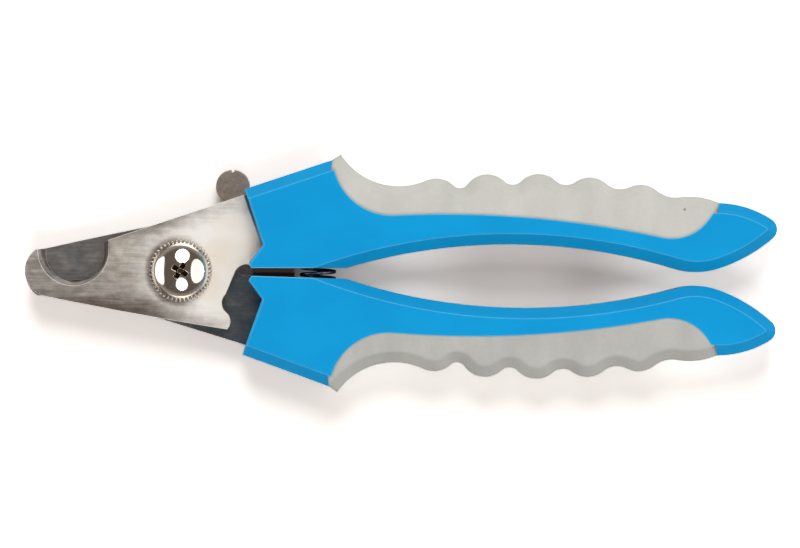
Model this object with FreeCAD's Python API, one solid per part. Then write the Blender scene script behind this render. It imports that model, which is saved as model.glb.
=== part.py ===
import FreeCAD, Part
import math
import os

# Pet nail clipper of the plier type. Two steel plates cross on one pivot. Each ends in a notched jaw
# at the front and in a tang at the back, moulded into a two-shot handle: a hard core and a soft grip.
#
# Every outline is drawn in the flat of the upper handle, with the pivot axis at x = 0, y = 0, the
# handles along +X and the jaws along -X. The lower half is the mirror image of the upper one.
# Lengths are millimetres, angles are degrees, and z = 0 is the face that the clipper lies on.

# ---------------------------------------------------------------- driving dimensions
rest_opening = 1.8          # angle between the two handles at rest
handle_thickness = 12.0
running_gap = 0.05          # between flat faces that slide on each other
running_fit = 0.04          # radial clearance of a hole that turns on the barrel

# handle head
head_slot = 1.2             # slot between the two heads when their inner edges are parallel
head_front = 15.1           # pivot axis to the front of the head
head_length = 36.4          # pivot axis to the back end of the head's inner edge
vee_depth = 3.1             # depth of the notch across the front edge
vee_height = 5.7
head_height = 18.0          # height of the front edge
shoulder_x = 33.5
shoulder_height = 24.4

# rail and tip
handle_reach = 132.6        # pivot axis to the point of the tip, before it is rounded
tip_length = 19.0           # from the lowest point of the heel to that point
tip_height = 9.3
tip_round = 2.6
tip_back = 6.4              # a point on the tip's bowed outer edge lies this far before its point
tip_back_rise = 4.0         # and this far above it
arch_rise = 5.25            # of the inner edge above the head slot
heel_half = 4.4             # half the length of the rounded heel
heel_height = 0.37
rail_height = 12.2          # of the rail's outer edge where it leaves the head
rail_start = 47.2
hook_radius = 10.0          # hollow in the tip that the end of the grip fills
hook_setback = 24.7         # from the point of the tip to the middle of that hollow
hook_height = 17.1
hook_lean = -33.0           # where the hollow starts, below the end of the grip
rail_lean = -102.3          # where it runs into the rail
rim_bevel = 2.3             # bevel along the rims of rail, tip, grip and head
front_bevel = 0.35          # small bevel of the head's front edges

# grip
scallop_count = 5
first_crest_set = 22.1      # from the shoulder to the first crest
last_crest_set = 5.6        # from the last crest to the middle of the tip's hollow
crest_share = 0.47          # radius of a crest, as a share of the distance between crests
deep_share = 0.24           # depth of the first valley, as such a share
shallow_share = 0.128       # depth of the last one
grip_bow = 160.0            # radius of the long curve that the crests lie on
grip_top = 21.35            # highest point of that curve
bow_lead = 4.95             # that point lies this far before the middle of the crests
nose_reach = 1.8            # the grip's corner stands this far behind the shoulder
nose_rise = 1.15            # and this far above it
hollow_lean = 113.3         # where the hollow behind the shoulder meets the first crest
last_valley_end = 278.0     # where the last valley turns into the rise to the tip
grip_overlap = 1.6          # of the grip's blank with the core, before the core is cut away
web_thickness = 5.0         # of the core's web inside the grip
web_cover = 5.6             # from the crests down to the web
web_lead = 5.0              # the web starts this far before the rail
web_root = 3.6              # height of its hidden edge above the core's inner edge

# blades
blade_thickness = 2.5
jaw_reach = 28.6            # pivot axis to the middle of the rounded jaw end
jaw_round = 5.75
back_angle = 258.5          # where the jaw's round end runs into its back edge
lobe_x = 10.2               # corner of the plate below the pivot
lobe_y = -12.9
waist_x = 9.05
waist_y = -7.3
throat_x = 11.9             # the plate's edge between the waist and the handle
throat_y = -0.3
shoulder_edge = 16.75       # height at which the plate's top edge enters the handle
edge_slope = 18.4           # of that edge
notch_x = -23.45            # middle of the nail notch, on the cutting face
notch_y = 3.95
notch_radius = 6.4
bevel_width = 1.4
bevel_shift_x = -0.2        # the ground bevel is wider towards the mouth
bevel_shift_y = 0.6
rear_notch_rise = 4.0       # the rear blade's notch is this much shallower
rear_lap = 3.0              # the rear blade sits turned this far towards closing in its handle
tang_end = 60.0
tang_width = 3.6
tang_middle = 9.6
tang_rise = 2.6             # the tang is this much higher at the spring pocket
tang_turn = 9.5             # from the head's front to where the tang starts to clear that pocket
pocket_wall = 0.8           # between the spring pocket and the tang
slot_lip = 0.45             # the plate's edge reaches this far past the middle of the slot
anchor_hole = 3.0
anchor_height = 11.0
front_anchor = 6.0          # from the head's front
rear_anchor = 8.0           # from the tang's end

# pivot
barrel_radius = 3.5
barrel_flange = 5.5
flange_thickness = 1.4
flange_bottom = 0.6
thread_radius = 2.5
thread_clearance = 0.03
screw_head_radius = 5.6
screw_head_height = 2.75
screw_head_rim = 0.45
recess_length = 4.3
recess_width = 1.15
recess_depth = 1.7
recess_turn = 60.0
tooth_washer_radius = 7.0
tooth_length = 0.75
tooth_count = 44
tooth_washer_thickness = 0.6

# nail guard
guard_thickness = 1.0
guard_hub = 6.8
guard_end_x = -26.5
guard_end_radius = 4.2
tab_distance = 21.8
tab_angle = 58.8
tab_radius = 3.75
tab_neck = 3.4
neck_angle = 52.5           # the neck leans towards the handle, so that only the tab shows
tab_slot = 0.7
tab_relief = 0.5            # room round the tab in the back of the upper handle
guard_washer_radius = 5.2
guard_washer_thickness = 0.4

# spring between the heads
spring_x = 30.2
spring_diameter = 8.1
spring_wire = 0.8
spring_turns = 8.5
arcs_per_turn = 4           # the coil is a chain of this many arcs in each turn
wire_sides = 6              # and its wire has this many flats
spring_room = 0.4           # between spring and pocket wall
pocket_depth = 6.0
post_radius = 2.8
post_length = 2.4

# ---------------------------------------------------------------- worked-out heights
cut_plane = handle_thickness / 2
front_face = cut_plane + running_gap / 2
rear_face = cut_plane - running_gap / 2
front_top = front_face + blade_thickness
rear_bottom = rear_face - blade_thickness
guard_top = rear_bottom - running_gap
guard_bottom = guard_top - guard_thickness
flange_top = flange_bottom + flange_thickness
slot_half = head_slot / 2
pocket_reach = spring_diameter / 2 + spring_room + pocket_wall
lip_end = spring_x - pocket_reach
pocket_end = spring_x + pocket_reach


# ---------------------------------------------------------------- drawing helpers
def vec(x, y, z=0.0):
    return FreeCAD.Vector(x, y, z)


def polar(centre, radius, degrees):
    angle = math.radians(degrees)
    return vec(centre.x + radius * math.cos(angle), centre.y + radius * math.sin(angle))


def turned(point, degrees):
    """The point turned about the pivot axis."""
    rotation = FreeCAD.Rotation(vec(0, 0, 1), degrees)
    return rotation.multVec(point)


class Outline:
    """A closed outline, drawn edge by edge from a start point."""

    def __init__(self, start):
        self.start = start
        self.at = start
        self.heading = None
        self.edges = []

    def add(self, curve, end):
        edge = curve.toShape()
        self.edges.append(edge)
        self.heading = edge.tangentAt(edge.LastParameter)
        self.at = end
        return self

    def line(self, end):
        return self.add(Part.LineSegment(self.at, end), end)

    def arc(self, middle, end):
        return self.add(Part.Arc(self.at, middle, end), end)

    def smooth(self, end):
        """An arc that carries on in the direction of the last edge."""
        chord = end - self.at
        side = vec(-chord.y, chord.x)
        turn = math.atan2(self.heading.dot(side), self.heading.dot(chord))
        middle = (self.at + end) * 0.5 + side * (0.5 * math.tan(turn / 2))
        return self.arc(middle, end)

    def prism(self, bottom, top):
        if (self.at - self.start).Length > 1e-6:
            self.line(self.start)
        face = Part.Face(Part.Wire(self.edges))
        face.translate(vec(0, 0, bottom))
        return face.extrude(vec(0, 0, top - bottom))


def disc(centre, radius, bottom, top):
    return Part.makeCylinder(radius, top - bottom, vec(centre.x, centre.y, bottom))


def is_upright(edge):
    first, last = edge.Vertexes[0].Point, edge.Vertexes[-1].Point
    return math.hypot(first.x - last.x, first.y - last.y) < 1e-6 and abs(first.z - last.z) > 0.1


def round_corner(solid, point, radius):
    """Rounds the upright edge that is nearest to the point."""
    upright = [edge for edge in solid.Edges if is_upright(edge)]
    upright.sort(key=lambda edge: math.hypot(edge.Vertexes[0].X - point.x, edge.Vertexes[0].Y - point.y))
    return solid.makeFillet(radius, upright[:1])


def rim_edges(solid, bottom, top, keep):
    """The edges of the two flat faces whose middle point passes the test."""
    found = []
    for edge in solid.Edges:
        middle = edge.valueAt((edge.FirstParameter + edge.LastParameter) / 2)
        flat = abs(edge.BoundBox.ZMax - edge.BoundBox.ZMin) < 1e-6
        level = abs(middle.z - bottom) < 1e-6 or abs(middle.z - top) < 1e-6
        if flat and level and keep(middle):
            found.append(edge)
    return found


# ---------------------------------------------------------------- handle core
heel_x = handle_reach - tip_length
hook = vec(handle_reach - hook_setback, hook_height)
tip_point = vec(handle_reach, tip_height)
shoulder = vec(shoulder_x, shoulder_height)
nose = shoulder + vec(nose_reach, nose_rise)
grip_end = vec(hook.x + hook_radius * 1.06, hook.y - hook_radius * 0.22)
first_crest = shoulder_x + first_crest_set
last_crest = hook.x - last_crest_set
scallop_pitch = (last_crest - first_crest) / (scallop_count - 1)
scallop_crest = crest_share * scallop_pitch
grip_middle = (first_crest + last_crest) / 2 - bow_lead
head_corner = vec(head_front - 0.9, head_height)


def core_blank():
    """Head, rail and tip in one flat outline."""
    arch_start = vec(head_length, slot_half)
    arch_end = vec(heel_x - heel_half, heel_height)
    arch_top = vec((arch_start.x + arch_end.x) / 2, slot_half + arch_rise)
    outline = Outline(head_corner)
    outline.line(vec(head_front + vee_depth, vee_height))
    outline.line(vec(head_front, slot_half + 1.1))
    outline.line(vec(head_front + 0.6, slot_half))
    outline.line(arch_start)
    outline.arc(arch_top, arch_end)
    outline.smooth(vec(heel_x + heel_half, heel_height))
    outline.smooth(tip_point)
    outline.arc(tip_point + vec(-tip_back, tip_back_rise), grip_end)
    outline.line(polar(hook, hook_radius, hook_lean))
    outline.arc(polar(hook, hook_radius, (hook_lean + rail_lean) / 2), polar(hook, hook_radius, rail_lean))
    outline.smooth(vec(rail_start, rail_height))
    outline.smooth(vec(shoulder_x + 0.2, shoulder_height - 1.2))
    outline.line(shoulder)
    return outline.prism(0, handle_thickness)


def is_inner_rim(point):
    """On the arch, the heel or the tip, but not on the edge that the grip covers."""
    past_head = point.x > head_length + 1
    below_rail = point.y < rail_height * 0.6
    on_tip = point.x > grip_end.x + 0.5
    return past_head and (below_rail and point.x < grip_end.x or on_tip)


def is_head_back(point):
    """On the head's outer edge, which runs from its front corner to the shoulder."""
    return head_corner.x + 1 < point.x < shoulder_x - 1 and point.y > head_height


def is_head_front(point):
    return point.x < head_front + vee_depth and point.y < head_height and point.y > slot_half + 1.0


def web():
    """The thin wall of the core that the soft grip is moulded round."""
    centre = vec(grip_middle, grip_top - grip_bow)
    radius = grip_bow - web_cover
    lean = math.degrees(math.asin((rail_start - web_lead - grip_middle) / radius))
    end_lean = math.degrees(math.asin((hook.x - grip_middle) / radius))
    first = polar(centre, radius, 90 - lean)
    last = polar(centre, radius, 90 - end_lean)
    outline = Outline(first)
    outline.arc(polar(centre, radius, 90 - (lean + end_lean) / 2), last)
    outline.line(vec(last.x, heel_height + web_root))
    outline.line(vec(grip_middle, slot_half + arch_rise + web_root))
    outline.line(vec(first.x, slot_half + web_root))
    half = web_thickness / 2
    return outline.prism(cut_plane - half, cut_plane + half)


def spring_pocket():
    """Blind round pocket in the head's inner edge, with a post that centres the coil."""
    along = vec(0, 1, 0)
    mouth = vec(spring_x, 0, cut_plane)
    bottom = slot_half + pocket_depth
    pocket = Part.makeCylinder(spring_diameter / 2 + spring_room, bottom, mouth, along)
    foot = vec(spring_x, bottom - post_length, cut_plane)
    post = Part.makeCylinder(post_radius, post_length, foot, along)
    return pocket.cut(post)


def core_shape():
    """The core before anything is let into it."""
    core = round_corner(core_blank(), tip_point, tip_round)
    core = core.makeChamfer(rim_bevel, rim_edges(core, 0, handle_thickness, is_inner_rim))
    core = core.makeChamfer(rim_bevel, rim_edges(core, 0, handle_thickness, is_head_back))
    core = core.makeChamfer(front_bevel, rim_edges(core, 0, handle_thickness, is_head_front))
    return core.fuse(web())


def handle_core(blade):
    return core_shape().cut(spring_pocket()).cut(blade)


# ---------------------------------------------------------------- soft grip
bow_centre = vec(grip_middle, grip_top - grip_bow)
bow_step = math.degrees(scallop_pitch / grip_bow)
bow_start = 90 - math.degrees(math.asin((first_crest - grip_middle) / grip_bow))


def towards(start, end, distance):
    """The point at this distance from start, on the way to end."""
    way = end - start
    return start + way * (distance / way.Length)


def crest(i):
    """Centre of a crest's arc."""
    return polar(bow_centre, grip_bow - scallop_crest, bow_start - i * bow_step)


def valley(i):
    """Centre and radius of the hollow arc behind a crest, which runs into the crests beside it."""
    share = i / (scallop_count - 1)
    depth = (deep_share + (shallow_share - deep_share) * share) * scallop_pitch
    half = scallop_pitch / 2
    radius = (half ** 2 + depth ** 2) / (2 * depth) - scallop_crest
    inner = grip_bow - scallop_crest
    spread = math.radians(bow_step / 2)
    rise = math.sqrt((scallop_crest + radius) ** 2 - (inner * math.sin(spread)) ** 2)
    return polar(bow_centre, inner * math.cos(spread) + rise, bow_start - (i + 0.5) * bow_step), radius


def draw_shoulder_hollow(outline):
    """From the grip's corner at the shoulder in a hollow arc that runs into the first crest."""
    out_of_crest = polar(vec(0, 0), 1.0, hollow_lean)
    meeting = crest(0) + out_of_crest * scallop_crest
    chord = nose - meeting
    radius = chord.dot(chord) / (2 * chord.dot(out_of_crest))
    centre = meeting + out_of_crest * radius
    outline.arc(towards(centre, (nose + meeting) * 0.5, radius), meeting)


def draw_scallops(outline):
    """Crests and valleys are arcs that run into each other. The last valley rises to the tip."""
    for i in range(scallop_count):
        centre, radius = valley(i)
        top = polar(bow_centre, grip_bow, bow_start - i * bow_step)
        outline.arc(top, towards(crest(i), centre, scallop_crest))
        if i < scallop_count - 1:
            end = towards(crest(i + 1), centre, scallop_crest)
        else:
            end = polar(centre, radius, last_valley_end)
        outline.arc(towards(centre, bow_centre, radius), end)
    outline.smooth(grip_end)


def grip_blank():
    """The whole grip in one flat outline, with a root that the core is cut out of later."""
    outline = Outline(shoulder)
    outline.line(nose)
    draw_shoulder_hollow(outline)
    draw_scallops(outline)
    inside = hook_radius + grip_overlap
    outline.line(polar(hook, inside, hook_lean))
    outline.arc(polar(hook, inside, (hook_lean + rail_lean) / 2), polar(hook, inside, rail_lean))
    outline.smooth(vec(rail_start, rail_height - grip_overlap))
    outline.line(vec(shoulder_x - grip_overlap, rail_height + grip_overlap))
    return outline.prism(0, handle_thickness)


def is_outer_rim(point):
    return point.x > nose.x and point.y > grip_end.y


def grip():
    blank = grip_blank()
    blank = blank.makeChamfer(rim_bevel, rim_edges(blank, 0, handle_thickness, is_outer_rim))
    return blank.cut(core_shape())


# ---------------------------------------------------------------- blades
def u_notch(centre, radius, z):
    """Round-bottomed notch, open at the top, as a closed wire."""
    left = vec(centre.x - radius, centre.y, z)
    right = vec(centre.x + radius, centre.y, z)
    bottom = vec(centre.x, centre.y - radius, z)
    mouth = 20.0
    edges = [
        Part.Arc(left, bottom, right).toShape(),
        Part.LineSegment(right, vec(right.x, mouth, z)).toShape(),
        Part.LineSegment(vec(right.x, mouth, z), vec(left.x, mouth, z)).toShape(),
        Part.LineSegment(vec(left.x, mouth, z), left).toShape(),
    ]
    return Part.Wire(edges)


def bevelled_notch(rise, cutting_z, outer_z):
    """The notch and its ground bevel, which opens from the cutting face to the outer face."""
    sharp = vec(notch_x, notch_y + rise)
    wide = vec(sharp.x + bevel_shift_x, sharp.y + bevel_shift_y)
    return Part.makeLoft([
        u_notch(sharp, notch_radius, cutting_z),
        u_notch(wide, notch_radius + bevel_width, outer_z),
    ], True, True)


def blade(cutting_z, outer_z, notch_rise, lap):
    """A plate with its jaw turned by lap about the pivot, and a tang that stays in the handle."""
    jaw = vec(-jaw_reach, 0)
    top_end = vec(head_front - 1.1, shoulder_edge)
    slope = math.tan(math.radians(edge_slope))
    lip = polar(jaw, jaw_round, 124)
    mouth = vec(notch_x + notch_radius, 0)
    mouth.y = top_end.y - (top_end.x - mouth.x) * slope
    half = tang_width / 2

    outline = Outline(turned(lip, lap))
    outline.arc(turned(polar(jaw, jaw_round, 190), lap), turned(polar(jaw, jaw_round, back_angle), lap))
    outline.smooth(turned(vec(lobe_x, lobe_y), lap))
    outline.arc(turned(vec(lobe_x + 0.7, lobe_y + 1.4), lap), turned(vec(lobe_x - 0.3, lobe_y + 3.8), lap))
    outline.arc(turned(vec(waist_x, waist_y), lap), turned(vec(waist_x + 0.85, waist_y + 2.2), lap))
    outline.line(turned(vec(throat_x, throat_y), lap))
    outline.smooth(turned(vec(head_front - 0.1, slot_half + 0.8), lap))
    outline.line(vec(head_front + 1.2, -slot_lip))
    outline.line(vec(lip_end, -slot_lip))
    outline.line(vec(lip_end, slot_half + 1.5))
    outline.line(vec(head_front + tang_turn, slot_half + pocket_depth + pocket_wall))
    outline.line(vec(pocket_end, slot_half + pocket_depth + pocket_wall))
    outline.line(vec(tang_end, tang_middle - half))
    outline.arc(vec(tang_end + half, tang_middle), vec(tang_end, tang_middle + half))
    outline.line(vec(pocket_end, tang_middle + tang_rise))
    outline.line(vec(head_front + tang_turn, shoulder_edge))
    outline.line(turned(top_end, lap))
    outline.line(turned(mouth, lap))
    low, high = sorted((cutting_z, outer_z))
    plate = outline.prism(low, high)

    notch = bevelled_notch(notch_rise, cutting_z, outer_z)
    notch.rotate(vec(0, 0), vec(0, 0, 1), lap)
    plate = plate.cut(notch)
    plate = plate.cut(disc(vec(head_front + front_anchor, anchor_height), anchor_hole / 2, low, high))
    return plate.cut(disc(vec(tang_end - rear_anchor, tang_middle), anchor_hole * 0.3, low, high))


# ---------------------------------------------------------------- pivot
def pivot_screw():
    bottom = front_top + tooth_washer_thickness
    top = bottom + screw_head_height
    rim = bottom + screw_head_rim
    crown = (screw_head_radius ** 2 + (top - rim) ** 2) / (2 * (top - rim))
    half_sweep = math.asin(screw_head_radius / crown) / 2
    middle = vec(crown * math.sin(half_sweep), 0, top - crown + crown * math.cos(half_sweep))
    shank_end = flange_top - 0.2
    edges = [
        Part.LineSegment(vec(0, 0, shank_end), vec(thread_radius, 0, shank_end)).toShape(),
        Part.LineSegment(vec(thread_radius, 0, shank_end), vec(thread_radius, 0, bottom)).toShape(),
        Part.LineSegment(vec(thread_radius, 0, bottom), vec(screw_head_radius, 0, bottom)).toShape(),
        Part.LineSegment(vec(screw_head_radius, 0, bottom), vec(screw_head_radius, 0, rim)).toShape(),
        Part.Arc(vec(screw_head_radius, 0, rim), middle, vec(0, 0, top)).toShape(),
        Part.LineSegment(vec(0, 0, top), vec(0, 0, shank_end)).toShape(),
    ]
    screw = Part.Face(Part.Wire(edges)).revolve(vec(0, 0), vec(0, 0, 1), 360)
    return screw.cut(cross_recess(top))


def cross_recess(top):
    """Cross-shaped driver recess: two slots that a cone narrows towards the bottom."""
    low = top - recess_depth
    wing = Part.makeBox(recess_length, recess_width, recess_depth + 1.0,
                        vec(-recess_length / 2, -recess_width / 2, low))
    other = wing.copy()
    other.rotate(vec(0, 0), vec(0, 0, 1), 90)
    cone = Part.makeCone(recess_length * 0.14, recess_length * 0.72, recess_depth + 1.0, vec(0, 0, low))
    recess = wing.fuse(other).common(cone)
    recess.rotate(vec(0, 0), vec(0, 0, 1), recess_turn)
    return recess


def tooth_washer():
    bottom = front_top
    top = bottom + tooth_washer_thickness
    root = tooth_washer_radius - tooth_length
    ring = disc(vec(0, 0), root, bottom, top)
    pitch = 360 / tooth_count
    origin = vec(0, 0)
    corners = []
    for i in range(tooth_count):
        corners.append(polar(origin, root - 0.2, i * pitch))
        corners.append(polar(origin, tooth_washer_radius, (i + 0.35) * pitch))
        corners.append(polar(origin, tooth_washer_radius, (i + 0.65) * pitch))
    star = Part.Face(Part.makePolygon(corners + corners[:1]))
    star.translate(vec(0, 0, bottom))
    washer = ring.fuse(star.extrude(vec(0, 0, tooth_washer_thickness)))
    return washer.cut(disc(origin, thread_radius + 0.2, bottom, top))


def pivot_nut():
    origin = vec(0, 0)
    flange = disc(origin, barrel_flange, flange_bottom, flange_top)
    barrel = disc(origin, barrel_radius, flange_bottom, front_top)
    bore = disc(origin, thread_radius + thread_clearance, flange_top - 0.3, front_top)
    slot = Part.makeBox(2 * barrel_flange, 1.2, 0.7, vec(-barrel_flange, -0.6, flange_bottom))
    nut = flange.fuse(barrel).cut(bore)
    return nut.cut(slot)


# ---------------------------------------------------------------- nail guard
def tapered_arm(radius, end, end_radius, bottom, top):
    """Two discs joined by their common tangents."""
    length = math.hypot(end.x, end.y)
    along = math.degrees(math.atan2(end.y, end.x))
    lean = math.degrees(math.acos((radius - end_radius) / length))
    origin = vec(0, 0)
    outline = Outline(polar(origin, radius, along + lean))
    outline.arc(polar(origin, radius, along + 180), polar(origin, radius, along - lean))
    outline.line(polar(end, end_radius, along - lean))
    outline.arc(polar(end, end_radius, along), polar(end, end_radius, along + lean))
    return outline.prism(bottom, top)


def nail_guard():
    origin = vec(0, 0)
    tab = polar(origin, tab_distance, tab_angle)
    plate = tapered_arm(guard_hub, vec(guard_end_x, 0), guard_end_radius, guard_bottom, guard_top)
    neck = Part.makeBox(tab_distance, tab_neck, guard_thickness, vec(0, -tab_neck / 2, guard_bottom))
    neck.rotate(origin, vec(0, 0, 1), neck_angle)
    plate = plate.fuse(neck).fuse(disc(tab, tab_radius, guard_bottom, guard_top))
    notch = Part.makeBox(tab_slot, tab_slot, guard_thickness,
                         vec(tab.x - tab_slot / 2, tab.y + tab_radius - tab_slot * 0.7, guard_bottom))
    plate = plate.cut(notch)
    return plate.cut(disc(origin, barrel_radius + running_fit, guard_bottom, guard_top)).removeSplitter()


def guard_relief():
    """Hollow in the back of the upper handle that the tab rests in."""
    tab = polar(vec(0, 0), tab_distance, tab_angle)
    return disc(tab, tab_radius + tab_relief, -1.0, guard_top + tab_relief)


def guard_washer():
    origin = vec(0, 0)
    top = flange_top + guard_washer_thickness
    ring = disc(origin, guard_washer_radius, flange_top, top)
    return ring.cut(disc(origin, barrel_radius, flange_top, top))


# ---------------------------------------------------------------- spring
def handle_spring():
    """Open coil along Y, from one pocket bottom to the other, as a chain of tilted arcs.

    Every arc starts in the direction in which the last one ended. The chain keeps to the screw line
    because its first direction is the one that a whole step, arc and turn, brings back.
    """
    lift = math.sin(math.radians(rest_opening / 2)) * spring_x
    length = 2 * (slot_half + pocket_depth + lift) - spring_wire - 0.2
    radius = (spring_diameter - spring_wire) / 2
    count = round(spring_turns * arcs_per_turn)
    turn = 360.0 * spring_turns / count
    rise = vec(0, 0, length / count)
    at = vec(radius, 0, -length / 2)
    chord = polar(vec(0, 0), radius, turn) + rise - vec(radius, 0)
    step_back = FreeCAD.Rotation(vec(0, 0, 1), -turn)
    heading = step_back.multiply(FreeCAD.Rotation(chord, 180)).Axis
    if heading.dot(chord) < 0:
        heading = heading * -1

    side = heading.cross(vec(0, 0, 1)).normalize()
    corner = side * (spring_wire / 2)
    flat = 360.0 / wire_sides
    corners = [at + FreeCAD.Rotation(heading, flat * i).multVec(corner) for i in range(wire_sides)]
    section = Part.Face(Part.makePolygon(corners + corners[:1]))
    pieces = []
    for i in range(count):
        end = turned(vec(radius, 0), turn * (i + 1)) + vec(0, 0, -length / 2) + rise * (i + 1)
        chord = end - at
        bend = 2 * math.degrees(heading.getAngle(chord))
        axis = heading.cross(chord).normalize()
        inward = axis.cross(heading)
        centre = at + inward * (chord.Length / 2 / math.sin(math.radians(bend / 2)))
        pieces.append(section.revolve(centre, axis, bend))
        section.rotate(centre, axis, bend)
        heading = FreeCAD.Rotation(axis, bend).multVec(heading)
        at = end
    coil = pieces[0].multiFuse(pieces[1:])
    coil.rotate(vec(0, 0), vec(1, 0, 0), 90)
    coil.translate(vec(spring_x, 0, cut_plane))
    return coil


# ---------------------------------------------------------------- the two halves
def upper(shape):
    """From the drawing to its place at rest."""
    placed = shape.copy()
    placed.rotate(vec(0, 0), vec(0, 0, 1), rest_opening / 2)
    return placed


def lower(shape):
    placed = shape.mirror(vec(0, 0), vec(0, 1, 0))
    placed.rotate(vec(0, 0), vec(0, 0, 1), -rest_opening / 2)
    return placed


def main():
    origin = vec(0, 0)
    front = blade(front_face, front_top, 0.0, 0.0)
    rear = blade(rear_face, rear_bottom, rear_notch_rise, -rear_lap)
    upper_core = handle_core(front).cut(guard_relief())
    lower_core = handle_core(rear)
    front = front.cut(disc(origin, barrel_radius, front_face, front_top))
    rear = rear.cut(disc(origin, barrel_radius + running_fit, rear_bottom, rear_face))

    nodes = {
        "front_blade": upper(front),
        "upper_handle": upper(upper_core),
        "upper_grip": upper(grip()),
        "pivot_screw": upper(pivot_screw()),
        "tooth_washer": upper(tooth_washer()),
        "pivot_nut": upper(pivot_nut()),
        "guard_washer": upper(guard_washer()),
        "nail_guard": upper(nail_guard()),
        "rear_blade": lower(rear),
        "lower_handle": lower(lower_core),
        "lower_grip": lower(grip()),
        "handle_spring": handle_spring(),
    }

    box = Part.makeCompound(list(nodes.values())).optimalBoundingBox(False, False)
    to_origin = vec(-(box.XMin + box.XMax) / 2, -(box.YMin + box.YMax) / 2, -box.ZMin)
    print("box", box.XLength, box.YLength, box.ZLength, "pivot at", to_origin)

    os.makedirs("parts", exist_ok=True)
    for name, shape in nodes.items():
        shape.translate(to_origin)
        solids = len(shape.Solids)
        print(name, "solids", solids, "valid", shape.isValid(), "volume", round(shape.Volume, 2))
        shape.exportStep("parts/" + name + ".step")


main()
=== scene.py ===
# %% [markdown]
# # A pet nail clipper
#
# The object is a plier-type nail clipper, about 165 mm long. Two steel blades cross at a screw,
# each blade is moulded into a blue handle, and a soft grey grip covers the outside of each handle.
# Its hard pieces come from a CAD model and keep their shapes. This script gives every piece its
# finish, makes the small pieces that a plain solid can't show well, and sets up the studio.
#
# All lengths are in metres, in the frame of the CAD model: X runs along the clipper from the blades
# to the handle ends, Y runs across it, and Z points up from the table that it lies on.

# %% Load the CAD model as the fixed frame
import math

import bpy
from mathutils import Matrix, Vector


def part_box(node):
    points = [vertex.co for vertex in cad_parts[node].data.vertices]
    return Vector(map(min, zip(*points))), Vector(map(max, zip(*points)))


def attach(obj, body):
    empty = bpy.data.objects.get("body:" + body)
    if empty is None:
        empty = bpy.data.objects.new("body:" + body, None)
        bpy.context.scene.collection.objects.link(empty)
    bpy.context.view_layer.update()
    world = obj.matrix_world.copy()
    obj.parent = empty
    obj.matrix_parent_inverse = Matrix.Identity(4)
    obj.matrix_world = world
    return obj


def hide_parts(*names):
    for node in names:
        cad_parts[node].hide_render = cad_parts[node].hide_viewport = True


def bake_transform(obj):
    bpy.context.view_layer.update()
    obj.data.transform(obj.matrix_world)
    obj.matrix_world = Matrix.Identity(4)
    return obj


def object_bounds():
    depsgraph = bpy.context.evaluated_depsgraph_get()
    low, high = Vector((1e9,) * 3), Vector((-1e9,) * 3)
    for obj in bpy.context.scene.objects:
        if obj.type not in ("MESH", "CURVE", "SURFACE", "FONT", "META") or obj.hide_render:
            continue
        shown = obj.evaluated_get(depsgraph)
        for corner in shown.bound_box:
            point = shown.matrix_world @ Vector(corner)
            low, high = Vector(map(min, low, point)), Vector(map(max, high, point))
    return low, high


MM = 0.001

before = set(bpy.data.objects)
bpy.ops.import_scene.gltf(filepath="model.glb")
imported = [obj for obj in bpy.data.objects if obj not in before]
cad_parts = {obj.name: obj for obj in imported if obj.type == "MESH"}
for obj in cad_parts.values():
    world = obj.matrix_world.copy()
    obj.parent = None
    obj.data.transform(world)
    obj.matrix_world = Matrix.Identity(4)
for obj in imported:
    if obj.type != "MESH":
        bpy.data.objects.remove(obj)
cad_low, cad_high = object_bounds()
print("the clipper measures", [round(side / MM, 1) for side in cad_high - cad_low], "mm")

# %% [markdown]
# ## The camera
#
# The clipper is seen from straight above, as in a catalogue. A camera that is far away, with a long
# lens, keeps the sides of the handles out of sight. The handles lie turned by less than a degree to
# the picture's edge, so the camera is turned by that angle and the clipper isn't. The lens follows
# from the distance: it is chosen so that a known width fills the picture.

# %% Place the camera
PICTURE_WIDTH = 176 * MM
CAMERA_HEIGHT = 900 * MM
FOCUS_HEIGHT = 9 * MM
CAMERA_TURN = math.radians(0.9)
CAMERA_ASIDE = 0.06 * MM
SENSOR_WIDTH = 36

camera_data = bpy.data.cameras.new("studio_camera")
camera_data.sensor_width = SENSOR_WIDTH
camera_data.lens = SENSOR_WIDTH * (CAMERA_HEIGHT - FOCUS_HEIGHT) / PICTURE_WIDTH
camera_data.clip_end = 10
camera = bpy.data.objects.new("studio_camera", camera_data)
camera.location = (-CAMERA_ASIDE, CAMERA_ASIDE, CAMERA_HEIGHT)
camera.rotation_euler = (0, 0, CAMERA_TURN)
bpy.context.scene.collection.objects.link(camera)
bpy.context.scene.camera = camera
bpy.context.scene.view_settings.view_transform = "Standard"
print("the lens is", round(camera_data.lens), "mm long")

# %% [markdown]
# ## Arithmetic with shader sockets
#
# A pattern such as brushed steel is a sum of noises and gradients. In the node editor that is a
# page of Math nodes. Here a small class wraps a socket and answers to Python's operators, so a line
# such as `1 - mask * 0.3` adds the Math nodes by itself. Colours and vectors have their own nodes,
# because a Math node would turn a colour grey. Every other node comes from one method, `node`.

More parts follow.
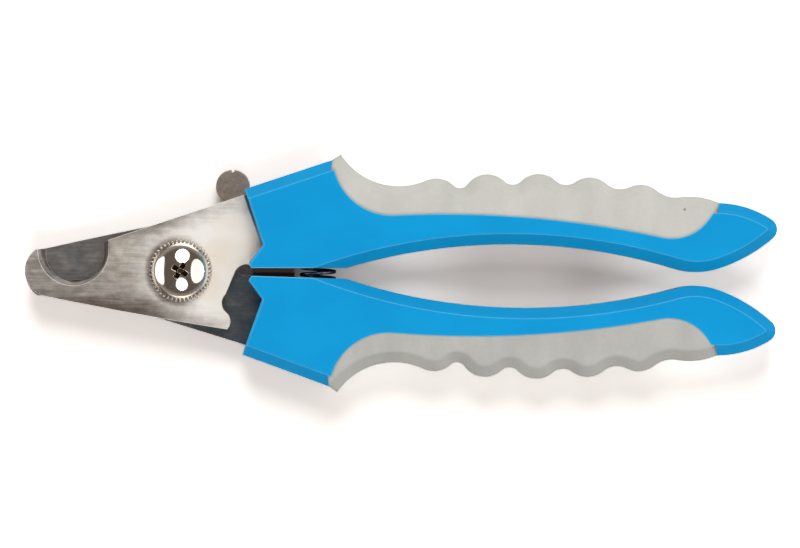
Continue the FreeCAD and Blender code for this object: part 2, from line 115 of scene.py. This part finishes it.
# %% Wrap a socket so that it answers to + - * / and powers
class Value:
    def __init__(self, finish, socket):
        self.finish = finish
        self.socket = socket

    def math(self, operation, first, second):
        return self.finish.node("ShaderNodeMath", {"operation": operation}, {0: first, 1: second})

    def __add__(self, other):
        return self.math("ADD", self, other)

    def __radd__(self, other):
        return self.math("ADD", other, self)

    def __sub__(self, other):
        return self.math("SUBTRACT", self, other)

    def __rsub__(self, other):
        return self.math("SUBTRACT", other, self)

    def __mul__(self, other):
        return self.math("MULTIPLY", self, other)

    def __rmul__(self, other):
        return self.math("MULTIPLY", other, self)

    def __truediv__(self, other):
        return self.math("DIVIDE", self, other)

    def __pow__(self, other):
        return self.math("POWER", self, other)

    def step(self, start, end):
        """0 before start, 1 after end, and a smooth turn between them."""
        settings = {"interpolation_type": "SMOOTHSTEP"}
        return self.finish.node("ShaderNodeMapRange", settings, {0: self, 1: start, 2: end})


# %% One class for a material, with one method that adds any node
class Finish:
    def __init__(self, name, **sockets):
        self.material = bpy.data.materials.new(name)
        self.material.use_nodes = True
        self.tree = self.material.node_tree
        self.shader = self.tree.nodes["Principled BSDF"]
        for socket, value in sockets.items():
            self.shader.inputs[socket.replace("_", " ")].default_value = value

    def node(self, kind, settings=None, inputs=None, output=0):
        made = self.tree.nodes.new(kind)
        for name, value in (settings or {}).items():
            setattr(made, name, value)
        for name, value in (inputs or {}).items():
            self.feed(made.inputs[name], value)
        return Value(self, made.outputs[output])

    def feed(self, socket, value):
        if isinstance(value, Value):
            self.tree.links.new(value.socket, socket)
        else:
            socket.default_value = value

    def connect(self, **sockets):
        for name, value in sockets.items():
            self.feed(self.shader.inputs[name.replace("_", " ")], value)

    def place(self):
        """Where the shaded point is on the clipper, as a vector and as its X, Y and Z."""
        vector = self.node("ShaderNodeTexCoord", output="Object")
        split = self.node("ShaderNodeSeparateXYZ", inputs={0: vector}).socket.node
        return vector, [Value(self, split.outputs[axis]) for axis in "XYZ"]

    def noise(self, vector, per_metre, detail=3.0, roughness=0.5):
        """A noise whose blotches repeat so many times in a metre, along each axis."""
        scaled = self.node(
            "ShaderNodeVectorMath", {"operation": "MULTIPLY"}, {0: vector, 1: per_metre}
        )
        return self.node(
            "ShaderNodeTexNoise",
            inputs={"Vector": scaled, "Scale": 1.0, "Detail": detail, "Roughness": roughness},
        )

    def mix(self, share, first, second):
        """The colour first where share is 0, and second where it is 1."""
        return self.node(
            "ShaderNodeMix",
            {"data_type": "RGBA"},
            {"Factor": share, 6: self.colour(first), 7: self.colour(second)},
            output=2,
        )

    def colour(self, value):
        return value if isinstance(value, Value) else (*value, 1)

    def soft_edge(self, radius):
        """The normal of a surface whose sharp edges are rounded off to this radius."""
        return self.node("ShaderNodeBevel", {"samples": 8}, {"Radius": radius})

    def edge(self, radius):
        """1 on sharp edges and 0 on open faces, from how far the rounded normal leans."""
        flat = self.node("ShaderNodeNewGeometry", output="Normal")
        dot = {"operation": "DOT_PRODUCT"}
        agreement = self.node(
            "ShaderNodeVectorMath", dot, {0: self.soft_edge(radius), 1: flat}, output="Value"
        )
        return (1 - agreement).step(0.004, 0.09)

    def bump(self, height, normal=None):
        """The normal of a surface that this height, in metres, is pressed into."""
        inputs = {"Strength": 1.0, "Distance": 1.0, "Height": height}
        if normal is not None:
            inputs["Normal"] = normal
        return self.node("ShaderNodeBump", inputs=inputs)

    def spot(self, place, centre, inner, outer):
        """1 within inner of an upright line through centre, falling to 0 at outer."""
        away_x = place[0] - centre[0]
        away_y = place[1] - centre[1]
        return 1 - ((away_x * away_x + away_y * away_y) ** 0.5).step(inner, outer)


# %% Turn the numbers of a screen colour into the numbers that light adds up in
def screen_colour(red, green, blue):
    def linear(share):
        return share / 12.92 if share <= 0.04045 else ((share + 0.055) / 1.055) ** 2.4

    return tuple(round(linear(channel / 255), 4) for channel in (red, green, blue))


# %% Find the pivot, which several finishes and the lamps are placed from
pivot_low, pivot_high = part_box("pivot_screw")
pivot = (pivot_low + pivot_high) / 2
print("the pivot stands at", [round(part / MM, 1) for part in pivot[:2]], "mm")

# %% [markdown]
# ## The white card
#
# The clipper lies on white card. The card is lit a little more than it needs, for the camera only,
# so that it comes out pure white and keeps just a faint shadow, and far from the clipper, where the
# lamps don't reach, it glows white by itself. It also glows a little at both ends of the gap between
# the handles, where two shadows cross and would go black. For the light that it throws back onto the
# clipper it is plain pale card, which keeps the undersides from glowing.

# %% Make the white card's finish
OVEREXPOSED = (2.15, 2.12, 2.13)
PLAIN_CARD = (0.80, 0.79, 0.78)
BLACK = (0.0, 0.0, 0.0)
WHITE = (1.0, 1.0, 1.0)

floor_finish = Finish("white_card", Roughness=0.9, Specular_IOR_Level=0.0)
seen_by_camera = floor_finish.node("ShaderNodeLightPath", output="Is Camera Ray")
card_colour = floor_finish.mix(seen_by_camera, PLAIN_CARD, OVEREXPOSED)
card_place = floor_finish.place()[1]
far_out = 1 - floor_finish.spot(card_place, (0.0, 0.0), inner=140 * MM, outer=400 * MM)
between_tips = floor_finish.spot(card_place, (70 * MM, 0.0), inner=6 * MM, outer=32 * MM)
behind_spring = floor_finish.spot(card_place, (-4 * MM, 0.0), inner=2 * MM, outer=26 * MM)
lifted = far_out + 0.55 * between_tips + 0.32 * behind_spring
glow = floor_finish.mix(lifted * seen_by_camera, BLACK, WHITE)
floor_finish.connect(Base_Color=card_colour, Emission_Color=glow, Emission_Strength=1.0)

# %% Lay the card just under the clipper
HALF_CARD = 3.0
CARD_GAP = 0.02 * MM

signs = [(-1, -1), (1, -1), (1, 1), (-1, 1)]
corners = [(x * HALF_CARD, y * HALF_CARD, cad_low.z - CARD_GAP) for x, y in signs]
card = bpy.data.meshes.new("floor")
card.from_pydata(corners, [], [(0, 1, 2, 3)])
card.materials.append(floor_finish.material)
floor = bpy.data.objects.new("floor", card)
bpy.context.scene.collection.objects.link(floor)
print("the card lies at", round(card.vertices[0].co.z / MM, 2), "mm")

# %% [markdown]
# ## The room and its lamps
#
# A polished screw head is a small mirror, and shows the whole room. A lamp that is to show on the
# dome between two tilts of the mirror has to fill the room between twice those angles. So each lamp
# is given by what the dome shows of it: how far off the vertical it starts and ends, and how wide
# it is. The ceiling between the lamps is a dark warm brown, which gives the steel its dark areas.
# The two lamps off the ends of the clipper are there for the metal. Light linking keeps them off the
# card, because they would shine along the gap between the handles and take its shade away.

# %% Paint the room: pale walls, a dark ceiling, white for the camera
PALE_WALLS = (0.32, 0.29, 0.27)
DARK_CEILING = (0.12, 0.10, 0.083)

room = bpy.data.worlds.new("studio_room")
room.use_nodes = True
bpy.context.scene.world = room


class Room(Finish):
    """A world answers to the same calls as a material, apart from how it starts."""

    def __init__(self, world):
        self.tree = world.node_tree
        self.shader = self.tree.nodes["Background"]


walls = Room(room)
direction = walls.node("ShaderNodeTexCoord", output="Generated")
upward = walls.node("ShaderNodeSeparateXYZ", inputs={0: direction}, output="Z")
lit_room = walls.mix(upward.step(0.05, 0.30), PALE_WALLS, DARK_CEILING)
camera_ray = walls.node("ShaderNodeLightPath", output="Is Camera Ray")
walls.connect(Color=walls.mix(camera_ray, lit_room, WHITE), Strength=1.0)
print("the room is painted with", len(walls.tree.nodes), "nodes")

# %% Hang the four soft lamps
LAMP_DISTANCE = 0.6
WARM_WHITE = (1.0, 0.99, 0.975)


def soft_lamp(name, side, nearest, furthest, half_width, radiance):
    """A lamp to one side of the pivot, filling the room from nearest to furthest off the vertical.

    side: the way round from +X. All angles are in degrees. radiance: how bright its face looks,
    where 1 is white.
    """
    middle = math.radians((nearest + furthest) / 2)
    around = math.radians(side)
    flat = math.sin(middle)
    direction = Vector((flat * math.cos(around), flat * math.sin(around), math.cos(middle)))
    lamp = bpy.data.lights.new(name, "AREA")
    lamp.shape = "ELLIPSE"
    lamp.size = 2 * LAMP_DISTANCE * math.tan(math.radians(half_width)) * flat
    lamp.size_y = 2 * LAMP_DISTANCE * math.tan(math.radians((furthest - nearest) / 2))
    lamp.color = WARM_WHITE
    lamp.energy = radiance * math.pi * (math.pi / 4) * lamp.size * lamp.size_y
    stand = bpy.data.objects.new(name, lamp)
    stand.location = pivot + direction * LAMP_DISTANCE
    stand.rotation_euler = (-direction).to_track_quat("-Z", "Y").to_euler()
    stand.visible_camera = False
    bpy.context.scene.collection.objects.link(stand)
    print(name, "shines with", round(lamp.energy, 2), "watts")
    return stand


lamp_right = soft_lamp("lamp_right", side=0, nearest=32, furthest=80, half_width=40, radiance=1.25)
soft_lamp("lamp_back", side=86, nearest=26, furthest=74, half_width=25, radiance=3.7)
lamp_left = soft_lamp("lamp_left", side=180, nearest=56, furthest=90, half_width=38, radiance=1.35)
soft_lamp("lamp_front", side=-86, nearest=23, furthest=66, half_width=23, radiance=3.0)

# %% Keep the two end lamps off the card
not_lit_from_the_ends = bpy.data.collections.new("not_lit_from_the_ends")
not_lit_from_the_ends.objects.link(floor)
not_lit_from_the_ends.collection_objects[0].light_linking.link_state = "EXCLUDE"
for lamp in (lamp_left, lamp_right):
    lamp.light_linking.receiver_collection = not_lit_from_the_ends
    print(lamp.name, "doesn't light the card")

# %% [markdown]
# ## Blade steel
#
# The blades are cut from sheet steel and brushed along their length, so the face is covered in fine
# streaks. Handling leaves faint tan stains, and a stamped sheet is never quite flat: towards the
# handle its face tips a little, and there it catches the light. That tip is put in the normal, so that
# it moves with the light. On top of it the colour is painted paler towards the handle, a painted
# highlight, and darker at both edges, on the notch's bevel, along the seam into the handle, round the
# washer and in the handles' slot, which is painted shade. Where the colour is pale the steel is made
# partly matt.

# %% A helper that makes brushed steel
TAN = (0.95, 0.90, 0.83)
# The dark brown of the painted shade in the handles' slot.
SLOT_SHADE_BROWN = screen_colour(112, 84, 76)
STREAKS_PER_METRE = (90.0, 2600.0, 400.0)
BLOTCHES_PER_METRE = (330.0, 480.0, 330.0)
STAINS_PER_METRE = (60.0, 75.0, 60.0)
head_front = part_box("upper_handle")[0].x + 1.2 * MM


def brushed_steel(name, tones, shade, scatter, tip=0.0, dimple=None):
    """Sheet steel brushed along X, with painted shade in a dark brown where it lies in the handles'
    slot.

    tones: its dark and its pale colour. shade: the painted light and shade, how pale it is from 0 to
    1, as a function of the place; the sharp edges get a painted highlight on top. scatter: the share
    of light that the steel scatters and doesn't mirror where its colour is pale. tip: how steeply the
    face
    turns up past the pivot. dimple: the place and the depth of a punched mark.
    """
    steel = Finish(name, Specular_IOR_Level=0.2)
    vector, place = steel.place()
    streaks = steel.noise(vector, STREAKS_PER_METRE, detail=4.0, roughness=0.65)
    blotches = steel.noise(vector, BLOTCHES_PER_METRE, detail=5.0, roughness=0.65)
    stains = steel.noise(vector, STAINS_PER_METRE, detail=2.0)
    # Painted highlight: the sharp edges are painted paler.
    rim_highlight = steel.edge(0.22 * MM)
    mottle = 0.34 * (stains - 0.5) + 0.55 * (blotches - 0.5) + 0.36 * (streaks - 0.5)
    pale = shade(steel, place) + mottle + 0.9 * rim_highlight
    stained = tuple(part * share for part, share in zip(tones[1], TAN))
    tint = steel.mix(stains.step(0.45, 0.7), tones[1], stained)
    colour = steel.mix(pale.step(0.0, 1.0), tones[0], tint)
    # Painted shade: the steel in the handles' slot is painted dark brown.
    off_middle = ((place[1] - pivot.y) * (place[1] - pivot.y)) ** 0.5
    in_slot = 1 - off_middle.step(0.8 * MM, 1.4 * MM)
    slot_shade = in_slot * place[0].step(head_front - 0.2 * MM, head_front + 1.0 * MM)
    colour = steel.mix(slot_shade, colour, SLOT_SHADE_BROWN)
    past_pivot = (place[0] - (pivot.x - 12 * MM)) / (24 * MM)
    tipping = past_pivot.step(0.0, 1.0) * past_pivot * (tip * MM)
    height = streaks * (0.004 * MM) + blotches * (0.006 * MM) - tipping
    if dimple:
        spot, depth = dimple
        height = height - steel.spot(place, spot, 0.1 * MM, 0.45 * MM) * depth
    steel.connect(
        Metallic=1 - scatter * pale.step(0.0, 1.0) * (1 - slot_shade),
        Base_Color=colour,
        Roughness=0.34 + 0.14 * streaks + 0.10 * blotches,
        Normal=steel.bump(height, steel.soft_edge(0.25 * MM)),
    )
    return steel.material


# %% Say where the front blade is painted with light and shade, and where the rear one is painted dark
NOTCH_RADIUS = 7.3 * MM
WASHER_RADIUS = 7.0 * MM
notch = (pivot.x - 23.4 * MM, pivot.y + 5.0 * MM)
seam = (pivot + Vector((14.1, 16.9, 0)) * MM, pivot + Vector((18.2, 5.4, 0)) * MM)
seam_along = (seam[1] - seam[0]).normalized()
seam_across = Vector((-seam_along.y, seam_along.x, 0))


def front_shade(steel, place):
    """A painted highlight, paler from the tip to the handle, with painted shade at both edges and on
    the notch's ground bevel.

    A dark line of painted shade runs where the steel goes into the moulded handle, and a ring of
    painted shade lies round the screw's washer.
    """
    x, y = place[:2]
    # Painted highlight paler from the tip to the handle, and painted shade at both edges and on the
    # notch's ground bevel.
    along = x.step(pivot.x - 16 * MM, pivot.x + 14 * MM)
    back_edge = (y - pivot.y).step(5 * MM, 15 * MM)
    front_edge = (pivot.y - y).step(3 * MM, 13 * MM)
    ground = steel.spot(place, notch, NOTCH_RADIUS, NOTCH_RADIUS + 0.6 * MM)
    # Painted shade: a dark line where the steel runs into the handle.
    seam_reach = (seam[0].x - x) * seam_across.x + (seam[0].y - y) * seam_across.y
    seam_shade = 1 - seam_reach.step(0.25 * MM, 0.60 * MM)
    # Painted shade: a dark ring round the screw's washer.
    washer_shade = steel.spot(place, pivot, WASHER_RADIUS, WASHER_RADIUS + 1.3 * MM)
    painted_light = 0.43 + 0.98 * along - 0.66 * back_edge - 0.66 * front_edge - 0.30 * ground
    return painted_light - 0.85 * seam_shade - 0.32 * washer_shade


def rear_shade(steel, place):
    """Grey in the notch, and painted nearly black where it runs into the handle: painted shade."""
    return 0.38 - 0.28 * place[0].step(pivot.x - 4 * MM, pivot.x + 6 * MM)


# %% Make the two blades' finishes
pale_steel = (screen_colour(130, 119, 111), screen_colour(252, 250, 246))
dark_steel = (screen_colour(92, 102, 108), screen_colour(206, 194, 187))
front_steel = brushed_steel(
    "brushed_blade_steel",
    pale_steel,
    front_shade,
    scatter=0.95,
    tip=4.5,
    dimple=((pivot.x + 7.4 * MM, pivot.y + 3.2 * MM), 0.10 * MM),
)
rear_steel = brushed_steel("shaded_blade_steel", dark_steel, rear_shade, scatter=0.30)
print("the front blade's steel has", len(front_steel.node_tree.nodes), "nodes")


# %% [markdown]
# ## One way to give a CAD node its finish
#
# A CAD node's mesh isn't changed, but its material slots are free to use. Putting a material into
# every slot of a node is the whole change.

# %% Assign a finish to a CAD node
def dress(node, material):
    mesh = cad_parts[node].data
    mesh.materials.clear()
    mesh.materials.append(material)
    print(node, "wears", material.name)


dress("front_blade", front_steel)
dress("rear_blade", rear_steel)

# %% [markdown]
# ## The nail guard's sheet
#
# The guard is thinner sheet, tumbled and not brushed, so its finish has no direction: a fine even
# grain over a dull brown grey.

# %% Make the guard's tumbled steel
tumbled = Finish("tumbled_guard_steel", Metallic=1.0)
vector = tumbled.place()[0]
grain = tumbled.noise(vector, (1500.0, 1500.0, 1500.0), detail=4.0, roughness=0.6)
cloud = tumbled.noise(vector, (160.0, 160.0, 160.0), detail=3.0)
speckle = (0.5 * grain + 0.5 * cloud).step(0.3, 0.7)
tumbled_colour = tumbled.mix(speckle, screen_colour(160, 148, 139), screen_colour(204, 190, 180))
tumbled.connect(
    Base_Color=tumbled_colour,
    Roughness=0.36 + 0.2 * grain,
    Normal=tumbled.bump(grain * (0.008 * MM), tumbled.soft_edge(0.3 * MM)),
)
dress("nail_guard", tumbled.material)

# %% [markdown]
# ## Blue handle plastic
#
# The handles are moulded in a hard, bright blue plastic with a satin skin. Under the satin there is
# a very fine waviness from the mould, and a slightly lighter bloom in broad patches. Both are faint:
# they only stop the surface from looking like paint in a computer. The arrises are painted a lighter
# blue, a painted highlight. So strong a colour would also tint the white card beside it, so for
# the light that it throws on its surroundings the plastic is a dull grey.

# %% Make the blue plastic
blue = Finish("blue_handle_plastic", Specular_IOR_Level=0.22)
vector = blue.place()[0]
skin = blue.noise(vector, (2200.0, 2200.0, 2200.0), detail=2.0)
bloom = blue.noise(vector, (70.0, 110.0, 70.0), detail=3.0)
# Painted highlight: the arrises are painted a lighter blue.
edge_highlight = blue.edge(0.55 * MM)
moulded_blue = blue.mix(bloom.step(0.3, 0.7), screen_colour(0, 160, 229), screen_colour(0, 166, 235))
highlighted_blue = blue.mix(0.95 * edge_highlight, moulded_blue, screen_colour(104, 200, 246))
bounced = blue.node("ShaderNodeLightPath", output="Is Diffuse Ray")
blue.connect(
    Base_Color=blue.mix(0.95 * bounced, highlighted_blue, screen_colour(60, 50, 46)),
    Roughness=0.36 + 0.10 * skin + 0.05 * bloom,
    Normal=blue.bump(skin * (0.006 * MM) + bloom * (0.05 * MM), blue.soft_edge(0.4 * MM)),
)
dress("upper_handle", blue.material)
dress("lower_handle", blue.material)

# %% [markdown]
# ## Soft grey grips
#
# The grips are a rubbery plastic moulded over the blue. It is matt, with faint cloudy patches of a
# lighter and a darker grey, and its skin is softer and more uneven than the blue one's. The lower grip
# is painted a darker grey than the upper one: painted shade.

# %% Make the grey grip rubber
def grip_rubber(name, dull, pale, gate=None):
    """Matt grey rubber. gate: where the small mark lies that the moulding gate left."""
    rubber = Finish(name, Specular_IOR_Level=0.25)
    vector, place = rubber.place()
    pores = rubber.noise(vector, (1300.0, 1300.0, 1300.0), detail=3.0, roughness=0.6)
    haze = rubber.noise(vector, (140.0, 60.0, 90.0), detail=3.0)
    colour = rubber.mix((0.25 * pores + 0.75 * haze).step(0.3, 0.7), dull, pale)
    height = pores * (0.010 * MM) + haze * (0.10 * MM)
    if gate:
        mark = rubber.spot(place, gate, 0.15 * MM, 0.45 * MM)
        colour = rubber.mix(0.7 * mark, colour, screen_colour(120, 118, 114))
        height = height - mark * (0.12 * MM)
    rubber.connect(
        Base_Color=colour,
        Roughness=0.52 + 0.14 * pores,
        Normal=rubber.bump(height, rubber.soft_edge(1.2 * MM)),
    )
    return rubber.material


# Painted shade: the lower grip gets the darker pair of greys, the upper one the lighter pair.
lit_grey = (screen_colour(204, 205, 201), screen_colour(216, 217, 212))
shaded_grey = (screen_colour(186, 187, 184), screen_colour(199, 200, 196))
gate_mark = (62.1 * MM, 15.2 * MM)
dress("upper_grip", grip_rubber("lit_grip_rubber", *lit_grey, gate=gate_mark))
dress("lower_grip", grip_rubber("shaded_grip_rubber", *shaded_grey))

# %% [markdown]
# ## Polished screw and plain washers
#
# The screw's dome is polished and bright. A mirror needs very little: high metallic, low roughness,
# and faint hairlines so that the reflections aren't perfect. Its cross recess is painted dark, a
# painted shade, and its arrises are painted bright, a painted glint. The washers and the nut
# underneath are plain plated steel, which is the same metal with a rougher skin.

# %% Make the screw's and the washers' metal
def bright_metal(name, tone, rough, hairline, recess=None):
    """Bright steel. recess: the middle, the radius and the top of a driver recess, painted dark inside
    and bright on its arrises.
    """
    metal = Finish(name, Metallic=1.0)
    vector, place = metal.place()
    wear = metal.noise(vector, (900.0, 900.0, 900.0), detail=3.0)
    cloud = metal.noise(vector, (260.0, 260.0, 260.0), detail=2.0)
    colour = metal.mix(cloud.step(0.3, 0.7), tuple(0.9 * part for part in tone), tone)
    if recess:
        middle, radius, top = recess
        around = metal.spot(place, middle, radius, radius + 0.2 * MM)
        # Painted shade: the inside of the recess is painted a dark brown.
        recess_shade = around * (top - place[2]).step(0.30 * MM, 0.60 * MM)
        colour = metal.mix(0.85 * recess_shade, colour, screen_colour(112, 88, 64))
        # Painted highlight: the recess's arrises are painted a bright glint.
        colour = metal.mix(around * metal.edge(0.10 * MM), colour, screen_colour(250, 240, 222))
    metal.connect(
        Base_Color=colour,
        Roughness=rough + hairline * wear,
        Normal=metal.bump(wear * (0.002 * MM), metal.soft_edge(0.12 * MM)),
    )
    return metal.material


recess = (pivot, 2.3 * MM, pivot_high.z)
polished = bright_metal("polished_screw_steel", screen_colour(242, 236, 228), 0.05, 0.06, recess)
plated = bright_metal("plated_washer_steel", screen_colour(200, 190, 178), 0.22, 0.16)
dress("pivot_screw", polished)
for washer in ("tooth_washer", "pivot_nut", "guard_washer"):
    dress(washer, plated)

# %% [markdown]
# ## The toothed washer
#
# Under the screw's head lies a washer with a ring of small teeth that bite into the blade and stop
# the screw from turning. Each tooth is a rounded bead, twisted a little out of the flat, so that it
# catches a lamp. One tooth, repeated by its number round the ring, is work for Geometry Nodes: the
# tooth is made once at the right distance, and every copy is only turned about the middle.

# %% A helper that starts a tree with named inputs
def start_tree(name, **sizes):
    tree = bpy.data.node_groups.new(name, "GeometryNodeTree")
    for label, value in sizes.items():
        kind = "NodeSocketInt" if isinstance(value, int) else "NodeSocketFloat"
        socket = tree.interface.new_socket(label, in_out="INPUT", socket_type=kind)
        socket.default_value = value
    tree.interface.new_socket("Geometry", in_out="OUTPUT", socket_type="NodeSocketGeometry")
    return tree


# %% A small wrapper that adds a geometry node and links its inputs
class Builder:
    def __init__(self, tree):
        self.tree = tree
        self.sizes = tree.nodes.new("NodeGroupInput").outputs

    def add(self, kind, settings=None, inputs=None, output=0):
        node = self.tree.nodes.new(kind)
        for name, value in (settings or {}).items():
            setattr(node, name, value)
        for name, value in (inputs or {}).items():
            if isinstance(value, bpy.types.NodeSocket):
                self.tree.links.new(value, node.inputs[name])
            else:
                node.inputs[name].default_value = value
        return node.outputs[output]

    def maths(self, operation, first, second=0.0, third=0.0):
        return self.add(
            "ShaderNodeMath", {"operation": operation}, {0: first, 1: second, 2: third}
        )

    def join(self, *pieces):
        joined = self.tree.nodes.new("GeometryNodeJoinGeometry")
        for piece in pieces:
            self.tree.links.new(piece, joined.inputs[0])
        return joined.outputs[0]

    def finish(self, geometry, material):
        realised = self.add("GeometryNodeRealizeInstances", inputs={"Geometry": geometry})
        painted = self.add(
            "GeometryNodeSetMaterial", inputs={"Geometry": realised, "Material": material}
        )
        outlet = self.tree.nodes.new("NodeGroupOutput")
        self.tree.links.new(painted, outlet.inputs[0])


# %% A helper that runs a tree and keeps its result as a plain mesh
def grow(name, tree, **sizes):
    holder = bpy.data.objects.new(name, bpy.data.meshes.new(name))
    bpy.context.scene.collection.objects.link(holder)
    modifier = holder.modifiers.new("rule", "NODES")
    modifier.node_group = tree
    for item in tree.interface.items_tree:
        if item.in_out == "INPUT":
            modifier[item.identifier] = sizes.get(item.name, item.default_value)
    bpy.context.view_layer.update()
    evaluated = holder.evaluated_get(bpy.context.evaluated_depsgraph_get())
    mesh = bpy.data.meshes.new_from_object(evaluated)
    holder.modifiers.clear()
    holder.data = mesh
    mesh.name = name
    print(name, "has", len(mesh.vertices), "points and", len(mesh.polygons), "faces")
    return holder


# %% The washer's rule as a tree
TOOTH_TWIST = math.radians(25)
TOOTH_STRETCH = (1.6, 0.82, 0.7)
RING_CORNERS = 88

ring_tree = start_tree(
    "toothed_ring", Teeth=44, Middle=5.35 * MM, Width=2.0 * MM, Thickness=0.6 * MM, Tooth=0.4 * MM
)
rule = Builder(ring_tree)
ring_line = rule.add(
    "GeometryNodeCurvePrimitiveCircle",
    inputs={"Resolution": RING_CORNERS, "Radius": rule.sizes["Middle"]},
)
ring_section = rule.add(
    "GeometryNodeCurvePrimitiveQuadrilateral",
    inputs={"Width": rule.sizes["Width"], "Height": rule.sizes["Thickness"]},
)
ring = rule.add(
    "GeometryNodeCurveToMesh", inputs={"Curve": ring_line, "Profile Curve": ring_section}
)
bead = rule.add("GeometryNodeMeshIcoSphere", inputs={"Radius": rule.sizes["Tooth"], "Subdivisions": 2})
smooth_bead = rule.add("GeometryNodeSetShadeSmooth", inputs={"Geometry": bead})
reach = rule.maths("MULTIPLY_ADD", rule.sizes["Width"], 0.5, rule.sizes["Middle"])
outward = rule.add("ShaderNodeCombineXYZ", inputs={"X": reach})
tooth = rule.add(
    "GeometryNodeTransform",
    inputs={
        "Geometry": smooth_bead,
        "Translation": outward,
        "Rotation": (TOOTH_TWIST, 0, 0),
        "Scale": TOOTH_STRETCH,
    },
)
centres = rule.add("GeometryNodePoints", inputs={"Count": rule.sizes["Teeth"]})
number = rule.add("GeometryNodeInputIndex")
share = rule.maths("DIVIDE", number, rule.sizes["Teeth"])
turn = rule.add("ShaderNodeCombineXYZ", inputs={"Z": rule.maths("MULTIPLY", share, 2 * math.pi)})
teeth = rule.add(
    "GeometryNodeInstanceOnPoints",
    inputs={"Points": centres, "Instance": tooth, "Rotation": turn},
)
rule.finish(rule.join(ring, teeth), plated)

# %% Grow the washer and lay it under the screw's head
washer_low, washer_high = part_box("tooth_washer")
toothed_ring = grow("toothed_ring", ring_tree, Thickness=washer_high.z - washer_low.z)
washer_middle = (washer_low + washer_high) / 2
for vertex in toothed_ring.data.vertices:
    vertex.co += washer_middle
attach(toothed_ring, "upper_side")
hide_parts("tooth_washer")

# %% [markdown]
# ## The handle spring
#
# A compression spring between the heads pushes the handles apart. Real ones have closed ends: the
# last turn lies flat against its neighbour, so that the spring stands square in its pocket. The wire
# follows a rule, which makes it a good piece for Geometry Nodes: a spiral, whose height is shared
# out so that the end turns are close and the middle ones open, becomes a tube round a small circle.

# %% Measure the room for the spring
spring_low, spring_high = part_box("handle_spring")
spring_middle = (spring_low + spring_high) / 2
WIRE_RADIUS = 0.4 * MM
coil_radius = (spring_high.x - spring_low.x) / 2 - WIRE_RADIUS
coil_height = spring_high.y - spring_low.y - 2 * WIRE_RADIUS
COIL_TURNS = 11.5
print("the spring is", round(coil_height / MM, 1), "mm long")


# %% Make the black spring wire
wire = Finish("black_spring_wire", Metallic=0.9, Specular_IOR_Level=0.6)
vector = wire.place()[0]
oxide = wire.noise(vector, (700.0, 700.0, 700.0), detail=3.0)
wire.connect(
    Base_Color=wire.mix(
        oxide.step(0.35, 0.75), screen_colour(92, 94, 98), screen_colour(140, 146, 152)
    ),
    Roughness=0.14 + 0.14 * oxide,
    Normal=wire.bump(oxide * (0.004 * MM)),
)
dress("handle_spring", wire.material)

# %% The spring's rule as a tree
CLOSED_SHARE = 0.62

spring_tree = start_tree(
    "closed_end_spring",
    Turns=COIL_TURNS,
    Radius=coil_radius,
    Height=coil_height,
    Wire=WIRE_RADIUS,
)
rule = Builder(spring_tree)
spiral = rule.add(
    "GeometryNodeCurveSpiral",
    inputs={
        "Resolution": 36,
        "Rotations": rule.sizes["Turns"],
        "Start Radius": rule.sizes["Radius"],
        "End Radius": rule.sizes["Radius"],
        "Height": 1.0,
    },
)
position = rule.add("GeometryNodeInputPosition")
parts = rule.add("ShaderNodeSeparateXYZ", inputs={0: position}).node.outputs
centred = rule.maths("SUBTRACT", rule.maths("MULTIPLY", parts["Z"], 2.0), 1.0)
shallow = rule.maths("SINE", rule.maths("MULTIPLY", centred, math.pi / 2))
close_ends = rule.maths("MULTIPLY", shallow, CLOSED_SHARE)
even_coil = rule.maths("MULTIPLY", centred, 1 - CLOSED_SHARE)
half_height = rule.maths("MULTIPLY", rule.sizes["Height"], 0.5)
risen = rule.maths("MULTIPLY", rule.maths("ADD", close_ends, even_coil), half_height)
moved = rule.add("ShaderNodeCombineXYZ", inputs={"X": parts["X"], "Y": risen, "Z": parts["Y"]})
spring_line = rule.add("GeometryNodeSetPosition", inputs={"Geometry": spiral, "Position": moved})
wire_circle = rule.add(
    "GeometryNodeCurvePrimitiveCircle", inputs={"Resolution": 12, "Radius": rule.sizes["Wire"]}
)
spring_wire = rule.add(
    "GeometryNodeCurveToMesh",
    inputs={"Curve": spring_line, "Profile Curve": wire_circle, "Fill Caps": True},
)
spring_smooth = rule.add("GeometryNodeSetShadeSmooth", inputs={"Geometry": spring_wire})
rule.finish(spring_smooth, wire.material)

# %% Grow the spring and put it in its pockets
spring = grow("coil_spring", spring_tree)
for vertex in spring.data.vertices:
    vertex.co += spring_middle
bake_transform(spring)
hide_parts("handle_spring")
